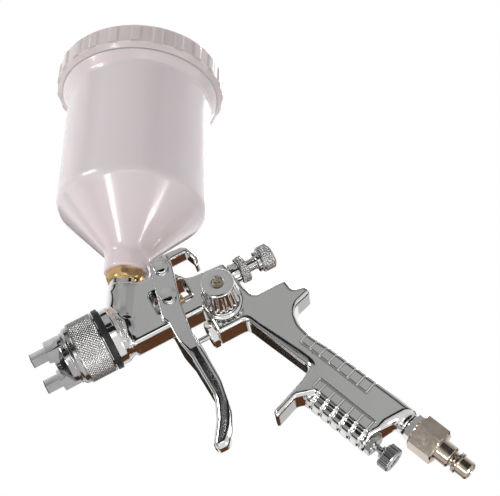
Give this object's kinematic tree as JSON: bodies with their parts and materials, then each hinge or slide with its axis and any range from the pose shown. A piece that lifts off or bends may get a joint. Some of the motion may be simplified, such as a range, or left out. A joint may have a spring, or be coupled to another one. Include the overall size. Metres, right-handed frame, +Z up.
{
  "type": "hvlp spray gun",
  "caption": "Gravity-feed HVLP paint spray gun with a translucent plastic cup, chromed body, trigger, fan and fluid controls and a quick-plug air inlet.",
  "frame": {"origin": "centre of the paint outlet at the tip of the fluid nozzle, on the barrel axis", "axes": "+X back along the barrel, +Z up, -Y the side of the fan control"},
  "size_m": [0.1856, 0.1066, 0.3535],
  "materials": {
    "chrome_casting": "polished chrome plate over a die-cast body",
    "chrome_plate": "bright turned and plated",
    "trigger_chrome": "polished chrome plate on pressed steel",
    "satin_steel": "satin turned steel",
    "spring_steel": "plain drawn wire",
    "brass": "machined brass",
    "nickel_plug": "warm nickel plate on steel",
    "black_rubber": "matte black nitrile",
    "white_ptfe": "waxy white",
    "cup_plastic": "milky translucent, slightly glossy",
    "lid_plastic": "milky translucent, slightly glossy",
    "lid_foam": "soft white polyethylene"
  },
  "bodies": {
    "gun": {"gun_body": "chrome_casting", "head_gasket": "black_rubber", "air_distributor": "white_ptfe", "fluid_nozzle": "satin_steel", "needle_packing": "white_ptfe", "needle_packing_nut": "satin_steel", "needle_spring": "spring_steel", "fluid_bush": "chrome_plate", "trigger_pivot_pin": "chrome_plate", "pivot_clip": "spring_steel", "air_valve_nut": "chrome_plate", "air_valve_packing": "white_ptfe", "air_valve_seat": "brass", "air_valve_spring": "spring_steel", "fan_bush": "chrome_plate", "fan_oring": "black_rubber", "regulator_gland": "satin_steel", "regulator_seal": "black_rubber", "inlet_oring": "black_rubber", "inlet_adapter": "chrome_plate", "quick_plug": "nickel_plug"},
    "trigger_lever": {"trigger": "trigger_chrome", "needle_pull_pin": "chrome_plate", "pull_pin_clip": "spring_steel"},
    "needle": {"fluid_needle": "satin_steel", "needle_collar": "brass"},
    "air_valve": {"air_valve_stem": "satin_steel", "air_valve_poppet": "black_rubber"},
    "fluid_stop": {"needle_stop": "brass"},
    "fluid_adjuster": {"fluid_knob": "satin_steel"},
    "lock_ring": {"fluid_lock_ring": "satin_steel"},
    "fan_adjuster": {"fan_knob": "chrome_plate", "fan_knob_screw": "satin_steel", "fan_stem": "satin_steel"},
    "regulator_screw": {"regulator_stem": "satin_steel"},
    "air_adjuster": {"air_knob": "satin_steel"},
    "cap_ring": {"retaining_ring": "satin_steel"},
    "cap": {"air_cap": "chrome_plate"},
    "cup": {"cup_body": "cup_plastic", "cup_fitting": "brass", "cup_strainer": "white_ptfe"},
    "lid": {"cup_lid": "lid_plastic", "lid_gasket": "lid_foam", "lid_vent": "lid_plastic"}
  },
  "joints": [
    {"name": "trigger_pull", "type": "hinge", "parent": "gun", "child": "trigger_lever", "pos_m": [0.0771, 0, 0.0194], "axis": [0, -1, 0], "range_deg": [0, 12], "stiffness_Nm_per_rad": 1, "springref_deg": -20.05},
    {"name": "needle_slide", "type": "slide", "parent": "gun", "child": "needle", "axis": [1, 0, 0], "range_m": [0, 0.00402], "deforming": ["needle_spring"]},
    {"name": "air_valve_slide", "type": "slide", "parent": "gun", "child": "air_valve", "axis": [1, 0, 0], "range_m": [0, 0.0102], "deforming": ["air_valve_spring"]},
    {"name": "fluid_stop_slide", "type": "slide", "parent": "gun", "child": "fluid_stop", "axis": [1, 0, 0], "range_m": [-0.003, 0.002]},
    {"name": "fluid_knob_turn", "type": "hinge", "parent": "fluid_stop", "child": "fluid_adjuster", "pos_m": [0.13, 0, 0], "axis": [1, 0, 0], "range_deg": [-1081, 721]},
    {"name": "fluid_lock_ring_turn", "type": "hinge", "parent": "gun", "child": "lock_ring", "pos_m": [0.118, 0, 0], "axis": [1, 0, 0], "range_deg": [0, 360]},
    {"name": "fan_knob_turn", "type": "hinge", "parent": "gun", "child": "fan_adjuster", "pos_m": [0.0975, -0.02, -0.0174], "axis": [0, -1, 0], "range_deg": [-135, 135]},
    {"name": "regulator_screw_slide", "type": "slide", "parent": "gun", "child": "regulator_screw", "axis": [0.3247, 0, -0.9458], "range_m": [-0.0014, 0.0014]},
    {"name": "air_knob_turn", "type": "hinge", "parent": "regulator_screw", "child": "air_adjuster", "pos_m": [0.13091, 0, -0.1386], "axis": [0.3247, 0, -0.9458], "range_deg": [-721, 721]},
    {"name": "retaining_ring_turn", "type": "hinge", "parent": "gun", "child": "cap_ring", "pos_m": [0.02, 0, 0], "axis": [1, 0, 0], "range_deg": [0, 360]},
    {"name": "air_cap_turn", "type": "hinge", "parent": "gun", "child": "cap", "pos_m": [0.008, 0, 0], "axis": [1, 0, 0], "range_deg": [-90, 90]},
    {"name": "cup_lift", "type": "slide", "parent": "gun", "child": "cup", "axis": [0.4782, 0, 0.8782], "range_m": [0, 0.06]},
    {"name": "lid_lift", "type": "slide", "parent": "cup", "child": "lid", "axis": [0.4782, 0, 0.8782], "range_m": [0, 0.035]}
  ],
  "couplings": [
    {"joint": "needle_slide", "follows": "trigger_pull", "m_per_rad": 0.019},
    {"joint": "air_valve_slide", "follows": "trigger_pull", "m_per_rad": 0.0485},
    {"joint": "fluid_knob_turn", "follows": "fluid_stop_slide", "rad_per_m": 6283.2},
    {"joint": "air_knob_turn", "follows": "regulator_screw_slide", "rad_per_m": 8976}
  ]
}
